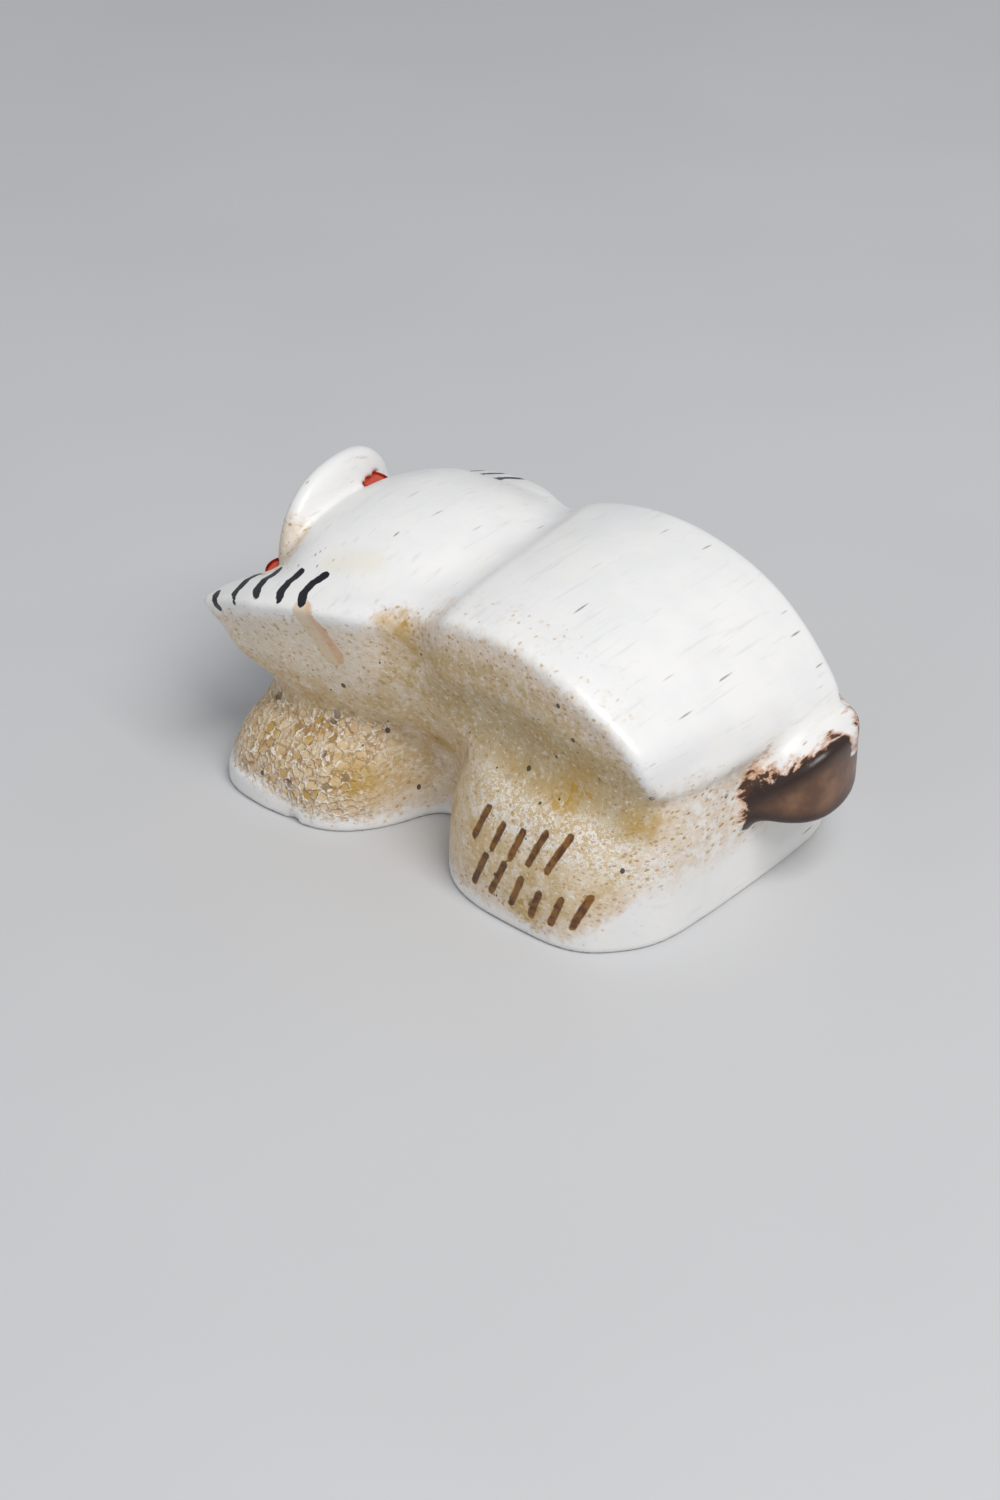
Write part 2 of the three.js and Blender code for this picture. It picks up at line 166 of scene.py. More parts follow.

# The colours of the antler that the panel doesn't set, with the painted shade of the groove and the painted
# sheen on the haunch's top.
SHADE = SimpleNamespace(
    cool_bone=(0.82, 0.812, 0.795), warm_bone=(0.85, 0.81, 0.72), grain_line=(0.62, 0.6, 0.57),
    crack=(0.27, 0.21, 0.14), light_tan=(0.68, 0.53, 0.34), olive=(0.5, 0.35, 0.11),
    cream=(0.78, 0.7, 0.58), near_bone=(0.76, 0.65, 0.55), pale=(0.77, 0.69, 0.58),
    groove_ochre_and_shade=(0.36, 0.27, 0.11), painted_sheen=(0.87, 0.85, 0.81), brown_fleck=(0.4, 0.23, 0.08),
    white_fleck=(0.86, 0.81, 0.73), red_cell=(0.38, 0.2, 0.1), amber_cell=(0.5, 0.3, 0.08),
    dark_cell=(0.1, 0.05, 0.03), brown_hole=(0.52, 0.32, 0.13), tan_hole=(0.68, 0.5, 0.28),
    dark_hole=(0.06, 0.03, 0.015), brown_wall=(0.34, 0.19, 0.075), white_wall=(0.86, 0.8, 0.7),
    pit=(0.035, 0.02, 0.012), stray_cell=(0.5, 0.31, 0.1), stain_left=(0.69, 0.53, 0.34),
    stain_right=(0.66, 0.38, 0.2), plate_line=(0.45, 0.33, 0.22), dome_stain=(0.8, 0.75, 0.56),
    stroke=(0.24, 0.1, 0.012), deep_stroke=(0.1, 0.034, 0.006), burnt_orange=(0.5, 0.2, 0.06),
    burnt_dark=(0.06, 0.026, 0.013), light_skin=(0.22, 0.11, 0.058), dark_skin=(0.03, 0.014, 0.009),
)

# The camera looks from the left and from behind at a point on the floor:
# angles in degrees, lengths in millimetres.
CAMERA = dict(azimuth=130.7, elevation=34.0, away=272.7, aim=(-3.5, -8.37, 0), sensor=36)
SKY = dict(colour=(0.9, 0.93, 1, 1), strength=0.4)


def number(name, description, default, low, high):
    """A size that the panel can set."""
    return FloatProperty(name=name, description=description, default=default, min=low, max=high)


def colour_of(name, description, default):
    """A colour that the panel can set."""
    return FloatVectorProperty(name=name, description=description, subtype="COLOR", size=3, default=default)


class CarvingSizes(PropertyGroup):
    step: number("Surface step", "Spacing of the points of the carved surface", 0.34, 0.2, 1.2)
    base_edge: number("Base edge", "Rounding of the lower edge, in millimetres", 0.5, 0.05, 2)
    cortex: colour_of("Outer bone", "Colour of the white outer bone", (0.86, 0.845, 0.815))
    tan: colour_of("Spongy core", "Colour of the spongy core", (0.6, 0.43, 0.215))
    ochre: colour_of("Ochre stain", "Colour of the stained pores", (0.47, 0.28, 0.04))
    skin: colour_of("Natural skin", "Colour of the antler's own brown skin", (0.12, 0.055, 0.03))
    ink: colour_of("Line colour", "Colour of the lines on the horn", (0.004, 0.004, 0.009))


class EyeSizes(PropertyGroup):
    diameter: number("Diameter", "Diameter of the coral rods, in millimetres", 3.0, 1, 5)
    proud: number("Proud", "How far each eye stands out, in millimetres", 1.1, 0.2, 3)
    rounding: number("Rounding", "Rounding of the top edge, in millimetres", 0.5, 0.1, 1.4)
    coral: colour_of("Coral", "Colour of the coral", (0.55, 0.055, 0.018))


class StageSizes(PropertyGroup):
    floor: colour_of("Floor", "Colour of the floor", (0.6, 0.6, 0.6))
    key_power: number("Key light", "Power of the large soft light", 2.5, 0, 50)
    fill_power: number("Fill light", "Power of the weaker light", 0.12, 0, 50)
    lens: number("Lens", "Focal length in millimetres", 72.0, 20, 200)


def smooth(low, high, value):
    """0 below low, 1 above high, and an even rise between."""
    t = np.clip((value - low) / (high - low), 0, 1)
    return t * t * (3 - 2 * t)


def blend(a, b, k):
    """The two bodies joined, with a fillet of about k."""
    h = np.maximum(k - np.abs(a - b), 0) / k
    return np.minimum(a, b) - h * h * k / 4


def cut(a, b, k):
    """What lies in both, with a rounded edge of about k."""
    return -blend(-a, -b, k)


def rounded(dx, dy, dz, rx, ry, rz, power, plan=None):
    """Distance to a rounded body about a centre. Powers above 2 square it up."""
    plan = power if plan is None else plan
    p = ((np.abs(dx) / rx) ** plan + (np.abs(dy) / ry) ** plan) ** (1 / plan)
    q = (p**power + (np.abs(dz) / rz) ** power) ** (1 / power)
    away = np.sqrt(dx * dx + dy * dy + dz * dz)
    return away * (1 - 1 / np.maximum(q, 1e-6))


def distance(x, y, z, at):
    """Distance to a point."""
    return np.sqrt((x - at[0]) ** 2 + (y - at[1]) ** 2 + (z - at[2]) ** 2)


def strand(x, y, z, balls):
    """Distance to a string of balls joined by cones."""
    nearest = None
    for (ax, ay, az, ar), (bx, by, bz, br) in zip(balls, balls[1:]):
        dx, dy, dz = bx - ax, by - ay, bz - az
        t = ((x - ax) * dx + (y - ay) * dy + (z - az) * dz) / (dx * dx + dy * dy + dz * dz)
        t = np.clip(t, 0, 1)
        away = np.sqrt((x - ax - dx * t) ** 2 + (y - ay - dy * t) ** 2 + (z - az - dz * t) ** 2)
        away = away - ar - (br - ar) * t
        nearest = away if nearest is None else np.minimum(nearest, away)
    return nearest


def tail_plan(x, y):
    """Distance to the tail's outline, seen from above."""
    tx = x - TAIL["x"]
    side = np.where(tx > 0, TAIL["near"], TAIL["far"])
    return rounded(tx, y - TAIL["root"], 0, side, TAIL["reach"] - TAIL["root"], 1, TAIL["plan"])


def back_depth(x, y, z):
    """How deep a point is under the arc of the back."""
    lift = BACK["crown"] * (1 - (x / BACK["half_width"]) ** 2) - BACK["tilt"] * x
    return BACK["radius"] + lift - np.hypot(y - BACK["y"], z - BACK["z"])


def make_body(x, y, z, ax):
    """The back, haunches and front feet, with the waist between them."""
    trunk = -back_depth(x, y, z)
    lean = BACK["lean"] * np.maximum(BACK["lean_below"] - z, 0)
    trunk = cut(trunk, ax - BACK["half_width"] + lean, BACK["edge"])
    trunk = cut(trunk, y - BACK["rear"] - BACK["rear_skew"] * x, BACK["edge"])
    trunk = cut(trunk, BACK["under"] + BACK["tuck"] * smooth(*BACK["tuck_span"], y) - z, BACK["edge"])
    trunk = cut(trunk, BACK["front"] + BACK["skew"] * x - y, BACK["front_edge"])
    hy = y - HAUNCH["y"]
    length = np.where(hy < 0, HAUNCH["front"], HAUNCH["rear"])
    plan = np.where(hy < 0, HAUNCH["power"], HAUNCH["plan_rear"])
    thigh = rounded(x, hy, z, HAUNCH["half_width"], length, HAUNCH["height"], HAUNCH["power"], plan)
    fy = y - FOOT["y"]
    length = np.where(fy < 0, FOOT["front"], FOOT["rear"])
    plan = np.where(fy < 0, FOOT["plan_front"], FOOT["plan_rear"])
    paw = rounded(x, fy, z, FOOT["half_width"], length, FOOT["height"], FOOT["power"], plan)
    waist = CORE["bottom"] + (CORE["top"] - CORE["bottom"]) * np.clip(z / CORE["height"], 0, 1) ** 2
    cx = np.maximum(ax - waist + CORE["round"], 0)
    cy = np.maximum(np.abs(y - CORE["y"]) - CORE["half_length"] + CORE["round"], 0)
    cz = np.maximum(z - CORE["height"] + CORE["round"], 0)
    middle = np.sqrt(cx * cx + cy * cy + cz * cz) - CORE["round"]
    seat = rounded(x - RUMP["x"], y - RUMP["y"], z - RUMP["z"], RUMP["half_width"], RUMP["half_length"],
                   RUMP["height"], RUMP["power"])
    body = blend(trunk, thigh, FILLET["thigh"])
    body = cut(body, -strand(ax, y, z, FLANK_BALLS), FILLET["flank"])
    top = RUMP["top"] - RUMP["fall"] * (y - RUMP["fall_from"]) - RUMP["bow"] * (x - RUMP["middle"]) ** 2
    seat = cut(seat, z - top, RUMP["edge"])
    seat = cut(seat, y - RUMP["rear"] - RUMP["skew"] * x - RUMP["lean"] * z, RUMP["edge"])
    body = blend(body, seat, FILLET["rump"])
    body = blend(body, middle, FILLET["waist"])
    return blend(body, paw, FILLET["paw"])


def make_horn(ax, y, z):
    """The wedge on each side of the head, from the cheek to the horn's tip."""
    bow = HORN["bow"] * np.abs(y - HORN["y"]) ** HORN["power"]
    top = z - HORN["top"] + bow + HORN["fall"] * np.maximum(ax - HORN["at"], 0)
    side = ax - HORN["side"] + HORN["turn"] * np.maximum(y - HORN["from_y"], 0)
    side = (side + HORN["lean"] * (HORN["level"] - z)) / math.hypot(1, HORN["lean"])
    front = (-y - z - HORN["front"]) / math.sqrt(2)
    under = (HORN["under"] - z + HORN["rise"] * (ax - HORN["at"])) / math.hypot(1, HORN["rise"])
    inner = (HORN["inner"] - HORN["taper"] * (y - HORN["tip"]) - ax) / math.hypot(1, HORN["taper"])
    wedge = cut(top, side, HORN["edge"])
    for face in (front, under, inner):
        wedge = cut(wedge, face, HORN["edge"])
    across, along = HORN["rear_turn"]
    return cut(wedge, across * ax + along * y - HORN["rear"], HORN["rear_edge"])


def make_head(x, y, z, ax):
    """The domed head with its cheeks, horns, muzzle and brow."""
    skull = rounded(x, y - DOME["y"], z - DOME["z"], DOME["x"], DOME["length"], DOME["height"], DOME["power"],
                    DOME["plan"])
    jowl, jaw = (rounded(x, y - form["y"], z - form["z"], form["x"], form["length"], form["height"],
                         form["power"]) for form in (CHEEK, CHIN))
    turn = math.radians(MUZZLE["turn"])
    mx = (x - MUZZLE["x"]) * math.cos(turn) + (y - MUZZLE["y"]) * math.sin(turn)
    my = (y - MUZZLE["y"]) * math.cos(turn) - (x - MUZZLE["x"]) * math.sin(turn)
    nose = rounded(mx, my, z - MUZZLE["z"], MUZZLE["half_width"], MUZZLE["length"], MUZZLE["height"],
                   MUZZLE["power"])
    head = blend(jowl, jaw, FILLET["jaw"])
    head = blend(head, skull, FILLET["skull"])
    head = blend(head, nose, FILLET["nose"])
    head = blend(head, strand(ax, y, z, CHEEK_BALLS), FILLET["cheek"])
    head = blend(head, make_horn(ax, y, z), FILLET["horn"])
    return blend(head, strand(x, y, z, BROW_BALLS), FILLET["brow"])


def tail_depths(x, y, z):
    """How far a point is below the tail's top, and how far above its underside."""
    tx = x - TAIL["x"]
    bow = np.where(tx > 0, TAIL["near_bow"], TAIL["far_bow"]) * tx * tx
    top = TAIL["top"] - bow - TAIL["dip"] * (TAIL["reach"] - y)
    return top - z, z - TAIL["bottom"] - TAIL["under_bow"] * tx * tx


def make_tail(x, y, z):
    """The short tail, a flat stub with a bowed top and underside."""
    below_top, above_under = tail_depths(x, y, z)
    stub = cut(tail_plan(x, y), -below_top, TAIL["edge"])
    stub = cut(stub, -above_under, TAIL["edge"])
    return cut(stub, TAIL["root"] - y, TAIL["edge"])


def eye_axis(name):
    """The middle of an eye's socket, the way it points and how much more it stands out."""
    at, aim, more = EYES[name]
    return Vector(at), Vector(aim).normalized(), more


def carved(x, y, z, base_edge, eye_radius, eye_proud):
    """Distance of points from the carved surface: negative inside."""
    ax = np.sqrt(x * x + MIDLINE)
    form = blend(make_body(x, y, z, ax), make_head(x, y, z, ax), FILLET["head"])
    form = cut(form, -strand(x, y, z, NAPE_BALLS), FILLET["nape"])
    form = blend(form, make_tail(x, y, z), FILLET["tail"])
    form = form - RIM["out"] * smooth(*RIM["height"], z) * smooth(*RIM["along"], y)
    form = cut(form, -z, base_edge)
    width, bottom = STROKES["width"], STROKES["bottom"] * STROKES["width"]
    carve = smooth(width, bottom, stroke_distance(y, z)) * smooth(*STROKES["side"], x)
    form = form + STROKES["depth"] * carve
    form = np.maximum(form, CHIP[3] - distance(x, y, z, CHIP))
    for name in EYES:
        at, aim, more = eye_axis(name)
        along = (x - at.x) * aim.x + (y - at.y) * aim.y + (z - at.z) * aim.z
        across = np.sqrt(np.maximum(distance(x, y, z, at) ** 2 - along**2, 0))
        ends = np.maximum(-EYE_DEPTH - SOCKET_CLEARANCE - along, along - eye_proud - more - SOCKET_MOUTH)
        socket = np.maximum(across - eye_radius - SOCKET_CLEARANCE, ends)
        form = np.maximum(form, -socket)
    return form


def surface_of(field, low, high, step):
    """Points and four-sided faces of the surface where the field is zero."""
    axes = [np.arange(a, b + step, step) for a, b in zip(low, high)]
    value = field(*np.meshgrid(*axes, indexing="ij"))
    inside = value < 0
    cells = tuple(n - 1 for n in value.shape)
    total, count = np.zeros(cells + (3,)), np.zeros(cells)

    def part(axis, a, b, c):
        """Slices that take a, b and c along axis and the two after it."""
        found = [None] * 3
        for step_on, piece in enumerate((a, b, c)):
            found[(axis + step_on) % 3] = piece
        return tuple(found)

    ends = slice(0, -1), slice(1, None)
    crossings = []
    for axis in range(3):
        near = part(axis, ends[0], slice(None), slice(None))
        far = part(axis, ends[1], slice(None), slice(None))
        crossed = inside[near] != inside[far]
        share = np.where(crossed, value[near] / np.where(crossed, value[near] - value[far], 1), 0)
        crossings.append(crossed)
        for u in (0, 1):
            for v in (0, 1):
                here = part(axis, slice(None), ends[u], ends[v])
                hit = crossed[here]
                count += hit
                total[..., axis] += np.where(hit, share[here], 0)
                total[..., (axis + 1) % 3] += hit * u
                total[..., (axis + 2) % 3] += hit * v

    used = np.argwhere(count > 0)
    number = np.full(cells, -1)
    number[tuple(used.T)] = np.arange(len(used))
    spots = tuple(used.T)
    points = np.array(low) + (used + total[spots] / count[spots][:, None]) * step

    faces = []
    for axis in range(3):
        inner = part(axis, slice(None), slice(1, -1), slice(1, -1))
        edge = np.argwhere(crossings[axis][inner])
        edge[:, (axis + 1) % 3] += 1
        edge[:, (axis + 2) % 3] += 1
        corners = []
        for u, v in ((1, 1), (0, 1), (0, 0), (1, 0)):
            cell = edge.copy()
            cell[:, (axis + 1) % 3] -= u
            cell[:, (axis + 2) % 3] -= v
            corners.append(number[tuple(cell.T)])
        quad = np.stack(corners, -1)
        outward = inside[tuple(edge.T)]
        faces.append(np.where(outward[:, None], quad, quad[:, ::-1]))
    return points, np.concatenate(faces)


def slope_of(field, points, reach=0.04):
    """The field and its slope at each point."""
    slope = np.empty_like(points)
    for axis in range(3):
        off = np.zeros(3)
        off[axis] = reach
        slope[:, axis] = (field(*(points + off).T) - field(*(points - off).T)) / (2 * reach)
    return field(*points.T), slope


def settle(field, points, step):
    """Moves points onto the surface, by no more than half a step."""
    start, now = points, points
    for _ in range(3):
        value, slope = slope_of(field, now)
        size = (slope**2).sum(1) + 1e-9
        now = np.clip(now - slope * (value / size)[:, None], start - step / 2, start + step / 2)
    return now


def even_out(field, points, faces, step):
    """Evens out the spacing of the points, keeping them on the surface."""
    pairs = np.concatenate([faces[:, [i, (i + 1) % 4]] for i in range(4)])
    pairs = np.unique(np.sort(pairs, 1), axis=0)
    both = np.concatenate([pairs, pairs[:, ::-1]])
    beside = np.bincount(both[:, 0], minlength=len(points))[:, None]
    for _ in range(3):
        sums = np.stack([np.bincount(both[:, 0], points[both[:, 1], c], len(points)) for c in range(3)], -1)
        points = settle(field, points + (sums / beside - points) * 0.5, step)
    return points


def stroke_distance(y, z):
    """Distance to the nearest of the strokes, seen from the side."""
    nearest = np.full(np.shape(y), 9.0)
    for row, level in enumerate(STROKES["rows"]):
        for n in range(STROKES["count"][row]):
            sway = STROKES["wobble"] * math.sin(STROKES["turns"][0] * n + STROKES["turns"][1] * row)
            middle = STROKES["first"] + STROKES["gap"] * n + STROKES["shift"] * row
            half = STROKES["length"] / 2 + STROKES["longer"] * sway
            run = STROKES["slant"] + STROKES["steeper"] * sway
            a = (0, middle - half * run, level - half + sway, 0)
            b = (0, middle + half * run, level + half + sway, 0)
            nearest = np.minimum(nearest, strand(0, y, z, (a, b)))
    return nearest


def core_of(x, y, z, ax):
    """How deep a point is in the spongy core: negative in the white outer bone."""
    behind = smooth(*SPANS["neck"], y)
    depth = back_depth(x, y, z)
    bow = HORN["bow"] * np.abs(y - HORN["y"]) ** HORN["power"]
    horn_top = HORN["top"] - bow - HORN["fall"] * np.maximum(ax - HORN["at"], 0)
    core = behind * (depth - BONE["back"]) + (1 - behind) * (horn_top - z - BONE["horn"])
    core = core - BONE["rump"] * smooth(*SPANS["core_rear"], y) * smooth(*SPANS["core_deep"], depth)
    core = core - BONE["seat"] * smooth(*SPANS["core_fade"], y)
    core = np.minimum(core, 2.2 * (ax - BONE["inside"]) + 4 * smooth(*SPANS["core_inside"], z))
    band = BONE["base"] - BONE["base_less"] * smooth(*SPANS["base_front"], y)
    band = band + BONE["base_rear"] * smooth(*SPANS["base_rear"], y)
    core = np.minimum(core, z - band) - BONE["far_side"] * (x < 0)
    for ball in CORE_BALLS:
        core = np.maximum(core, ball[3] - distance(x, y, z, ball))
    return core


def zones_of(points):
    """What each part of the surface is made of, where shade and sheen are painted on it, and how far it is
    from each mark.
    """
    x, y, z = points.T
    ax = np.abs(x)
    below_top, above_under = tail_depths(x, y, z)
    plan = tail_plan(x, y)
    wall = plan - 3 * np.maximum(plan - 0.15, 0)
    skin = np.minimum(wall, 1.6 * (y - SKIN["front"]))
    skin = np.minimum(skin, np.minimum(above_under + SKIN["below"], below_top - SKIN["edge"]))
    skin = skin - 2.5 * np.maximum(SKIN["far"] - x, 0) * smooth(*SPANS["skin_far"], z)
    fringe = np.minimum(wall, 1.2 * (y - SKIN["fringe_front"]))
    fringe = fringe + 1.9 * smooth(*SPANS["fringe_far"], x) - 2.6 * smooth(*SPANS["fringe_end"], x)
    fringe = np.minimum(fringe, 1.6 * (below_top + SKIN["fringe_above"]))
    fringe = np.where(z > TAIL["bottom"] + SKIN["fringe_low"], fringe, -9)
    ochre = np.zeros_like(x)
    for ball in OCHRE_BALLS:
        ochre = np.maximum(ochre, smooth(ball[3], 0.3 * ball[3], distance(x, y, z, ball)))
    calm = smooth(*SPANS["calm_front"], y) * smooth(*SPANS["calm_rear"], y) * smooth(*SPANS["calm_low"], z)
    rear = smooth(*SPANS["rear"], y) * smooth(*SPANS["rear_deep"], back_depth(x, y, z))
    return {
        "core_depth": core_of(x, y, z, ax),
        "coarse": smooth(*SPANS["coarse_front"], y) * smooth(*SPANS["coarse_low"], z),
        "pale": smooth(*SPANS["pale_front"], y) * smooth(*SPANS["pale_high"], z),
        "calm": calm,
        "ochre": ochre,
        # Painted shade, with some ochre stain, in the groove below the back.
        "groove_ochre_and_shade": smooth(*SPANS["groove_ochre_and_shade"], strand(ax, y, z, FLANK_BALLS)),
        # Painted highlight: the sheen on the top of the haunch.
        "painted_sheen": smooth(*SPANS["painted_sheen"], strand(ax, y, z, PAINTED_SHEEN_BALLS)),
        "skin_edge": skin,
        "skin_middle": np.minimum(below_top, above_under),
        "fringe": fringe,
        "rear": rear * smooth(*SPANS["rear_high"], z),
        "line": np.minimum.reduce([strand(ax, y, z, line) for line in LINES]),
        "stain": strand(x, y, z, STAIN),
        "stain_right": (y - STAIN[0][1]) + 0.45 * (z - STAIN[0][2]),
        "plate_line": strand(x, y, z, PLATE_LINE),
        "dome_stain": strand(x, y, z, DOME_STAIN),
        "stroke": np.where(x > STROKES["side"][0], stroke_distance(y, z), 9),
    }


def new_piece(name, points, faces):
    """A mesh object of points in drawn millimetres, placed in the model's frame."""
    mesh = bpy.data.meshes.new(name)
    placed = (np.asarray(points) - np.array([0, MIDDLE, 0])) * MM
    mesh.from_pydata(placed.tolist(), [], faces.tolist())
    mesh.validate()
    piece = bpy.data.objects.new(name, mesh)
    bpy.context.scene.collection.objects.link(piece)
    return piece


class Finish:
    """A material that is built up node by node."""

    def __init__(self, name):
        self.material = bpy.data.materials.new(name)
        self.material.use_nodes = True
        self.tree = self.material.node_tree
        self.surface = self.tree.nodes["Principled BSDF"]
        where = self.tree.nodes.new("ShaderNodeTexCoord").outputs["Object"]
        self.mm = self.stretch(where, (1000, 1000, 1000))

    def put(self, socket, value):
        if isinstance(value, bpy.types.NodeSocket):
            self.tree.links.new(value, socket)
        elif value is not None:
            socket.default_value = (*value, 1) if socket.type == "RGBA" and len(value) == 3 else value

    def stretch(self, vector, scale, offset=(0, 0, 0)):
        """Places scaled along each axis and then moved."""
        node = self.tree.nodes.new("ShaderNodeMapping")
        self.put(node.inputs["Vector"], vector)
        node.inputs["Scale"].default_value = scale
        node.inputs["Location"].default_value = offset
        return node.outputs[0]

    def noise(self, scale, detail=3.0, rough=0.55, vector=None):
        node = self.tree.nodes.new("ShaderNodeTexNoise")
        self.put(node.inputs["Vector"], vector or self.mm)
        for name, value in (("Scale", scale), ("Detail", detail), ("Roughness", rough)):
            node.inputs[name].default_value = value
        return node.outputs["Fac"]

    def cells(self, scale, vector=None, feature="F1", want="Distance"):
        """Distances and random colours of cells spread through space."""
        node = self.tree.nodes.new("ShaderNodeTexVoronoi")
        node.feature = feature
        self.put(node.inputs["Vector"], vector or self.mm)
        node.inputs["Scale"].default_value = scale
        return node.outputs[want] if isinstance(want, str) else [node.outputs[w] for w in want]

    def wander(self, vector, scale, amount):
        """The same place, moved a little by noise, so that edges run unevenly."""
        noise = self.tree.nodes.new("ShaderNodeTexNoise")
        self.put(noise.inputs["Vector"], vector)
        noise.inputs["Scale"].default_value = scale
        node = self.tree.nodes.new("ShaderNodeVectorMath")
        node.operation = "MULTIPLY_ADD"
        self.put(node.inputs[0], noise.outputs["Color"])
        node.inputs[1].default_value = (amount,) * 3
        self.put(node.inputs[2], vector)
        return node.outputs[0]

    def sum(self, kind, a, b=None, c=None):
        """One step of arithmetic."""
        node = self.tree.nodes.new("ShaderNodeMath")
        node.operation = kind
        for socket, value in zip(node.inputs, (a, b, c)):
            self.put(socket, value)
        return node.outputs[0]

    def rise(self, value, low, high, first=0.0, last=1.0):
        """From first at low to last at high, evenly, and level outside."""
        node = self.tree.nodes.new("ShaderNodeMapRange")
        node.interpolation_type = "SMOOTHSTEP"
        parts = {"Value": value, "From Min": low, "From Max": high, "To Min": first, "To Max": last}
        for name, part in parts.items():
            self.put(node.inputs[name], part)
        return node.outputs[0]

    def mix(self, share, a, b):
        node = self.tree.nodes.new("ShaderNodeMix")
        node.data_type = "RGBA"
        self.put(node.inputs[0], share)
        self.put(node.inputs[6], a)
        self.put(node.inputs[7], b)
        return node.outputs[2]

    def axes(self, vector):
        node = self.tree.nodes.new("ShaderNodeSeparateXYZ")
        self.put(node.inputs[0], vector)
        return node.outputs[0], node.outputs[1], node.outputs[2]

    def kept(self, name):
        """A value that is stored on the piece's points."""
        node = self.tree.nodes.new("ShaderNodeAttribute")
        node.attribute_name = name
        return node.outputs["Fac"]

    def bump(self, height, distance, strength=1.0, after=None):
        node = self.tree.nodes.new("ShaderNodeBump")
        node.inputs["Strength"].default_value = strength
        node.inputs["Distance"].default_value = distance
        self.put(node.inputs["Height"], height)
        self.put(node.inputs["Normal"], after)
        return node.outputs[0]

    def set(self, **values):
        for name, value in values.items():
            self.put(self.surface.inputs[name.replace("_", " ")], value)


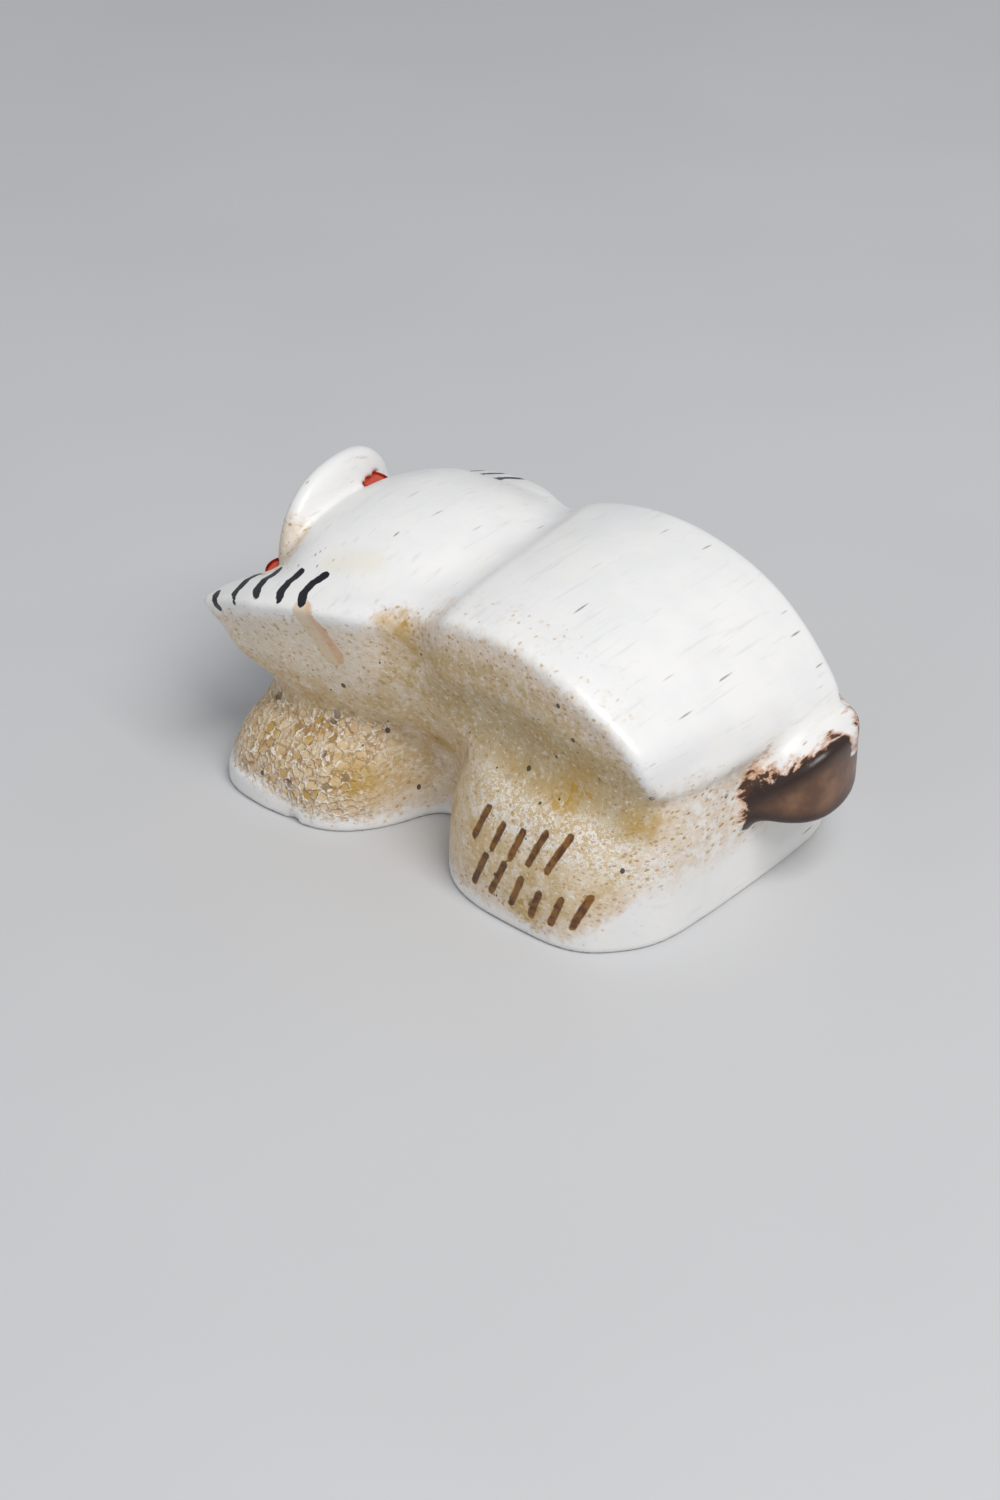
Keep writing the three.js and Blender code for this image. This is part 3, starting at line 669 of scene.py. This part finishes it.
def antler_finish(colours):
    """White outer bone, spongy core, and the brown skin left on the tail."""
    f = Finish("antler")
    core_depth, coarse, ochre, calm = (f.kept(name) for name in ("core_depth", "coarse", "ochre", "calm"))
    ragged = f.noise(0.9, 4, 0.6)

    # Outer bone: nearly white, cooler and warmer in clouds, with short fine
    # cracks that follow the grain across the carving.
    cloud = f.noise(0.22, 3)
    bone = f.mix(f.rise(cloud, 0.35, 0.65), SHADE.cool_bone, tuple(colours.cortex))
    bone = f.mix(f.rise(f.noise(0.3, 3), 0.56, 0.74, 0, 0.45), bone, SHADE.warm_bone)
    along = f.stretch(f.mm, (0.2, 2.6, 2.6))
    crack_far, crack_kind = f.cells(1.0, along, want=("Distance", "Color"))
    patch = f.noise(0.12, 1)
    chosen = f.sum("MULTIPLY", f.rise(f.axes(crack_kind)[0], 0.1, 0.07), f.rise(patch, 0.46, 0.54))
    crack = f.sum("MULTIPLY", f.rise(crack_far, 0.34, 0.1), chosen)
    streak = f.noise(1.0, 4, 0.6, f.stretch(f.mm, (0.12, 1.6, 1.6)))
    bone = f.mix(f.rise(streak, 0.56, 0.72, 0, 0.35), bone, SHADE.grain_line)
    bone = f.mix(f.sum("MULTIPLY", crack, 0.85), bone, SHADE.crack)

    # Spongy core: tan, ochre and nearly white in clouds, with small stained
    # cells that are redder near the outer bone.
    body = f.mix(f.rise(f.noise(0.3, 4, 0.6), 0.4, 0.6), tuple(colours.tan), SHADE.light_tan)
    other = f.stretch(f.mm, (1, 1, 1), (7, 3, 5))
    body = f.mix(f.rise(f.noise(0.42, 4, 0.6, other), 0.52, 0.66, 0, 0.6), body, SHADE.olive)
    body = f.mix(f.rise(f.noise(0.8, 4, 0.65), 0.5, 0.62, 0, 0.6), body, SHADE.cream)
    near_bone = f.rise(core_depth, 3.6, 0.8)
    body = f.mix(f.sum("MULTIPLY", near_bone, 0.7), body, SHADE.near_bone)
    body = f.mix(f.sum("MULTIPLY", f.kept("pale"), 0.6), body, SHADE.pale)
    # Painted shade in the groove below the back: mostly the shade that falls there, and partly ochre stain.
    body = f.mix(f.sum("MULTIPLY", f.kept("groove_ochre_and_shade"), 0.45), body, SHADE.groove_ochre_and_shade)
    grain = f.noise(2.1, 4, 0.7, f.stretch(f.mm, (0.7, 1, 1.2)))
    # Painted highlight: white sheen flecks on the top of the haunch, where the light falls.
    painted_sheen = f.sum("MULTIPLY", f.kept("painted_sheen"), f.rise(grain, 0.46, 0.56))
    body = f.mix(f.sum("MULTIPLY", painted_sheen, 0.85), body, SHADE.painted_sheen)
    body = f.mix(f.rise(grain, 0.55, 0.7, 0, 0.7), body, SHADE.brown_fleck)
    body = f.mix(f.rise(grain, 0.46, 0.32, 0, 0.7), body, SHADE.white_fleck)
    place = f.wander(f.stretch(f.mm, (0.8, 1, 1.15)), 2.2, 0.5)
    small_far, small_kind = f.cells(1.9, place, want=("Distance", "Color"))
    pick, pick2, pick3 = f.axes(small_kind)
    spot = f.rise(small_far, 0.4, 0.2)
    busy = f.rise(f.noise(0.5, 3), 0.4, 0.6, 0.3, 1.0)
    busy = f.sum("MULTIPLY", f.sum("MAXIMUM", busy, near_bone), f.rise(calm, 0, 1, 1, 0.3))
    warm = f.mix(f.rise(pick2, 0.35, 0.75), SHADE.red_cell, SHADE.amber_cell)
    warm = f.mix(f.rise(pick2, 0.93, 0.96), warm, SHADE.dark_cell)
    warm_share = f.sum("MULTIPLY", f.sum("MULTIPLY", spot, f.rise(pick, 0.55, 0.66)), busy)
    body = f.mix(f.sum("MULTIPLY", warm_share, 0.7), body, warm)

    # Larger open cells, mostly on the front feet, with ragged walls that
    # are white in some places and brown in others.
    place = f.wander(f.stretch(f.mm, (0.9, 1, 1.1)), 1.5, 0.8)
    wide_far = f.cells(1.15, place, feature="DISTANCE_TO_EDGE")
    inside = f.rise(wide_far, 0.02, 0.2)
    kinds = f.axes(f.cells(1.15, place, want="Color"))
    open_cell = f.mix(f.rise(kinds[0], 0.25, 0.75), SHADE.brown_hole, SHADE.tan_hole)
    open_cell = f.mix(f.rise(kinds[1], 0.68, 0.82), open_cell, tuple(colours.ochre))
    open_cell = f.mix(f.rise(kinds[2], 0.93, 0.96), open_cell, SHADE.dark_hole)
    walls = f.mix(f.rise(f.noise(1.9, 3), 0.44, 0.58), SHADE.brown_wall, SHADE.white_wall)
    lattice = f.mix(inside, walls, open_cell)
    scattered = f.sum("MULTIPLY", f.rise(kinds[1], 0.72, 0.8), f.rise(calm, 0.3, 0.0))
    scattered = f.sum("MULTIPLY", scattered, ochre)
    coarse_here = f.sum("MULTIPLY", coarse, f.rise(f.noise(0.55, 2), 0.34, 0.56, 0.2, 0.9))
    chosen = f.sum("MAXIMUM", coarse_here, f.sum("MULTIPLY", scattered, inside))
    body = f.mix(chosen, body, lattice)

    # Ochre that has soaked in, and a few dark pits.
    soaked = f.sum("MULTIPLY", ochre, f.rise(f.noise(0.8, 4, 0.62), 0.36, 0.62))
    body = f.mix(f.sum("MULTIPLY", soaked, 0.75), body, tuple(colours.ochre))
    pin_far, pin_kind = f.cells(0.75, f.stretch(f.mm, (1, 1, 0.8)), want=("Distance", "Color"))
    pin_size = f.rise(f.axes(pin_kind)[2], 0.3, 1.0, 0.08, 0.17)
    pin = f.sum("LESS_THAN", f.sum("ADD", pin_far, f.rise(ragged, 0, 1, -0.04, 0.04)), pin_size)
    pin = f.sum("MULTIPLY", pin, f.rise(f.axes(pin_kind)[1], 0.6, 0.64))
    body = f.mix(f.sum("MULTIPLY", pin, 0.9), body, SHADE.pit)

    inward = f.sum("ADD", core_depth, f.sum("MULTIPLY_ADD", ragged, 2.2, -1.1))
    inward = f.sum("ADD", inward, f.sum("MULTIPLY_ADD", f.noise(2.0, 3, 0.6), 2.0, -1.0))
    in_core = f.rise(inward, -0.5, 1.0)
    at_rear = f.sum("MULTIPLY", f.kept("rear"), f.rise(ragged, 0.4, 0.56, 0.25, 0.9))
    in_core = f.sum("MAXIMUM", in_core, at_rear)
    colour = f.mix(in_core, bone, body)
    stray = f.sum("MULTIPLY", f.rise(pick3, 0.86, 0.9), f.rise(core_depth, -1.5, 0.4, 0, 0.8))
    stray = f.sum("MAXIMUM", stray, f.sum("MULTIPLY", f.rise(pick3, 0.72, 0.76), f.kept("rear")))
    colour = f.mix(f.sum("MULTIPLY", stray, spot), colour, SHADE.stray_cell)

    # Marks: the stain, the faint line below the muzzle's top, the strokes.
    stain = f.rise(f.sum("ADD", f.kept("stain"), f.rise(ragged, 0, 1, -0.25, 0.25)), 1.2, 1.0)
    stain_colour = f.mix(f.rise(f.kept("stain_right"), 0.3, 0.8), SHADE.stain_left, SHADE.stain_right)
    colour = f.mix(f.sum("MULTIPLY", stain, 0.75), colour, stain_colour)
    colour = f.mix(f.rise(f.kept("plate_line"), 0.22, 0.05, 0, 0.4), colour, SHADE.plate_line)
    on_dome = f.rise(f.sum("ADD", f.kept("dome_stain"), ragged), 2.3, 0.8, 0, 0.4)
    colour = f.mix(on_dome, colour, SHADE.dome_stain)
    in_stroke = f.rise(f.sum("ADD", f.kept("stroke"), f.rise(ragged, 0, 1, -0.1, 0.1)), 0.4, 0.26)
    stroke_colour = f.mix(f.rise(f.noise(1.1, 3), 0.4, 0.62), SHADE.stroke, SHADE.deep_stroke)
    colour = f.mix(in_stroke, colour, stroke_colour)

    # Brown skin with a burnt edge that runs out along the grain.
    run_out = f.noise(1.0, 5, 0.65, f.stretch(f.mm, (0.4, 1.7, 1.7)))
    burnt = f.sum("ADD", f.kept("fringe"), f.sum("MULTIPLY_ADD", run_out, 5.0, -2.5))
    colour = f.mix(f.rise(burnt, -1.9, -0.7, 0, 0.8), colour, SHADE.burnt_orange)
    colour = f.mix(f.rise(burnt, -0.9, -0.5), colour, SHADE.burnt_dark)
    in_skin = f.sum("ADD", f.kept("skin_edge"), f.sum("MULTIPLY_ADD", run_out, 1.2, -0.6))
    skin = f.mix(f.rise(f.noise(0.5, 3), 0.35, 0.7), tuple(colours.skin), SHADE.light_skin)
    skin = f.mix(f.rise(f.kept("skin_middle"), 0.3, 2.2), SHADE.dark_skin, skin)
    colour = f.mix(f.rise(in_skin, -0.75, -0.5), colour, skin)

    in_line = f.rise(f.sum("ADD", f.kept("line"), f.rise(f.noise(2.5, 2), 0, 1, -0.06, 0.06)), 0.46, 0.4)
    colour = f.mix(in_line, colour, tuple(colours.ink))

    dents = f.sum("MULTIPLY", f.sum("MULTIPLY", inside, coarse), in_core)
    dents = f.sum("ADD", dents, f.sum("MULTIPLY", f.sum("MULTIPLY", pin, in_core), 1.2))
    dents = f.sum("ADD", dents, f.sum("MULTIPLY", f.sum("MULTIPLY", spot, in_core), 0.3))
    normal = f.bump(f.sum("MULTIPLY", dents, -1.0), 0.13 * MM, 0.8)
    normal = f.bump(f.noise(1.6, 4), 0.05 * MM, 0.5, normal)
    rough = f.rise(in_core, 0, 1, 0.34, 0.4)
    f.set(Base_Color=colour, Roughness=rough, Normal=normal, IOR=1.52)
    return f.material


def coral_finish(colours):
    """Polished coral with a little paler and darker growth in it."""
    f = Finish("coral")
    growth = f.noise(0.9, 4, 0.6, f.stretch(f.mm, (1, 1, 0.5)))
    deep = tuple(c * 0.6 for c in colours.coral)
    light = (min(colours.coral[0] * 1.25, 1), colours.coral[1] * 1.9, colours.coral[2] * 2.2)
    colour = f.mix(f.rise(growth, 0.35, 0.5), deep, tuple(colours.coral))
    colour = f.mix(f.rise(growth, 0.58, 0.75), colour, light)
    pit_far = f.cells(2.2)
    normal = f.bump(f.rise(pit_far, 0.12, 0.05), 0.04 * MM, -0.4)
    f.set(Base_Color=colour, Roughness=0.13, Normal=normal, IOR=1.55, Coat_Weight=0.5, Coat_Roughness=0.05)
    return f.material


class CARVING_OT_body(Operator):
    """Carve the antler animal from its slice and give it its finish"""

    bl_idname = "antler_animal.carving"
    bl_label = "Carving"

    def execute(self, context):
        sizes, eyes = context.scene.carving_sizes, context.scene.eye_sizes

        def field(x, y, z):
            return carved(x, y, z, sizes.base_edge, eyes.diameter / 2, eyes.proud)

        step = sizes.step
        points, faces = surface_of(field, (*GRID_LOW, -STEPS_BELOW * step), GRID_HIGH, step)
        points = even_out(field, settle(field, points, step), faces, step)
        piece = new_piece("antler_carving", points, faces)
        for name, values in zones_of(points).items():
            kept = piece.data.attributes.new(name, "FLOAT", "POINT")
            kept.data.foreach_set("value", values.astype(np.float32))
        piece.data.materials.append(antler_finish(sizes))
        piece.data.polygons.foreach_set("use_smooth", [True] * len(piece.data.polygons))
        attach(piece, "root")
        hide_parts("carving")
        return {"FINISHED"}


class CARVING_OT_eyes(Operator):
    """Turn the two coral eyes and set them in their sockets"""

    bl_idname = "antler_animal.eyes"
    bl_label = "Eyes"

    def execute(self, context):
        sizes = context.scene.eye_sizes
        coral = coral_finish(sizes)
        for name in EYES:
            at, aim, more = eye_axis(name)
            bpy.ops.object.select_all(action="DESELECT")
            proud = sizes.proud + more
            height = (proud + EYE_DEPTH) * MM
            bpy.ops.mesh.primitive_cylinder_add(vertices=48, radius=sizes.diameter / 2 * MM, depth=height,
                                                location=(0, 0, (proud - EYE_DEPTH) / 2 * MM))
            eye = context.object
            eye.name = eye.data.name = name + "_coral"
            bpy.ops.object.transform_apply(location=True, rotation=False, scale=False)
            bpy.ops.object.mode_set(mode="EDIT")
            bpy.ops.mesh.select_all(action="DESELECT")
            bpy.ops.object.mode_set(mode="OBJECT")
            for face in eye.data.polygons:
                face.select = face.normal.z > 0.9
            bpy.ops.object.mode_set(mode="EDIT")
            bpy.ops.mesh.bevel(offset=sizes.rounding * MM, segments=6, affect="EDGES")
            bpy.ops.object.mode_set(mode="OBJECT")
            for face in eye.data.polygons:
                face.select = face.normal.z > 0.999 and face.center.z > 0
            bpy.ops.object.mode_set(mode="EDIT")
            bpy.ops.mesh.inset(thickness=sizes.diameter * 0.2 * MM)
            bpy.ops.transform.translate(value=(0, 0, sizes.rounding * 0.08 * MM))
            bpy.ops.object.mode_set(mode="OBJECT")
            bpy.ops.object.shade_smooth_by_angle(angle=math.radians(50))
            eye.rotation_mode = "QUATERNION"
            eye.rotation_quaternion = Vector((0, 0, 1)).rotation_difference(aim)
            eye.location = (at - Vector((0, MIDDLE, 0))) * MM
            bpy.ops.object.transform_apply(location=True, rotation=True, scale=True)
            eye.data.materials.append(coral)
            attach(eye, "root")
            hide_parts(name)
        return {"FINISHED"}


class CARVING_OT_stage(Operator):
    """Set up the pale floor, the soft lights and the camera"""

    bl_idname = "antler_animal.stage"
    bl_label = "Stage"

    def execute(self, context):
        sizes = context.scene.stage_sizes
        bpy.ops.object.select_all(action="DESELECT")
        bpy.ops.mesh.primitive_plane_add(size=4, location=(0, 0, 0))
        floor = context.object
        floor.name = "floor"
        f = Finish("pale_floor")
        darker = tuple(c * 0.97 for c in sizes.floor)
        colour = f.mix(f.rise(f.noise(0.02, 2), 0.3, 0.7), tuple(sizes.floor), darker)
        f.set(Base_Color=colour, Roughness=0.75)
        floor.data.materials.append(f.material)

        def lamp(name, size, power, place):
            aim = (0, 0, 0.01)
            bpy.ops.object.light_add(type="AREA", location=place)
            light = context.object
            light.name = name
            light.data.size = size
            light.data.energy = power
            light.rotation_mode = "QUATERNION"
            light.rotation_quaternion = (Vector(aim) - Vector(place)).to_track_quat("-Z", "Y")

        lamp("key", 0.3, sizes.key_power, (0.1, 0.3, 0.5))
        lamp("fill", 0.4, sizes.fill_power, (0.4, -0.1, 0.22))
        world = bpy.data.worlds.new("soft_room")
        world.use_nodes = True
        world.node_tree.nodes["Background"].inputs["Color"].default_value = SKY["colour"]
        world.node_tree.nodes["Background"].inputs["Strength"].default_value = SKY["strength"]
        context.scene.world = world
        context.scene.view_settings.view_transform = "Standard"

        azimuth, elevation = math.radians(CAMERA["azimuth"]), math.radians(CAMERA["elevation"])
        level = math.cos(elevation)
        look = Vector((-math.sin(azimuth) * level, math.cos(azimuth) * level, -math.sin(elevation)))
        bpy.ops.object.camera_add(location=(Vector(CAMERA["aim"]) - look * CAMERA["away"]) * MM)
        camera = context.object
        camera.rotation_mode = "QUATERNION"
        camera.rotation_quaternion = look.to_track_quat("-Z", "Y")
        camera.data.lens = sizes.lens
        camera.data.sensor_width = CAMERA["sensor"]
        camera.data.clip_start, camera.data.clip_end = 0.01, 20
        context.scene.camera = camera
        return {"FINISHED"}


class CARVING_PT_panel(Panel):
    bl_label = "Antler animal"
    bl_idname = "CARVING_PT_panel"
    bl_space_type = "VIEW_3D"
    bl_region_type = "UI"
    bl_category = "Antler animal"

    def draw(self, context):
        operators = CARVING_OT_body, CARVING_OT_eyes, CARVING_OT_stage
        for group, operator in zip(GROUPS, operators):
            sizes = getattr(context.scene, group)
            box = self.layout.box()
            for name in sizes.__annotations__:
                box.prop(sizes, name)
            box.operator(operator.bl_idname)


GROUPS = {"carving_sizes": CarvingSizes, "eye_sizes": EyeSizes, "stage_sizes": StageSizes}
CLASSES = (*GROUPS.values(), CARVING_OT_body, CARVING_OT_eyes, CARVING_OT_stage, CARVING_PT_panel)


def register():
    for kind in CLASSES:
        bpy.utils.register_class(kind)
    for name, kind in GROUPS.items():
        setattr(bpy.types.Scene, name, PointerProperty(type=kind))


def unregister():
    for name in GROUPS:
        delattr(bpy.types.Scene, name)
    for kind in reversed(CLASSES):
        bpy.utils.unregister_class(kind)


def main():
    register()
    bpy.ops.antler_animal.stage()
    bpy.ops.antler_animal.carving()
    bpy.ops.antler_animal.eyes()


if __name__ == "__main__":
    main()
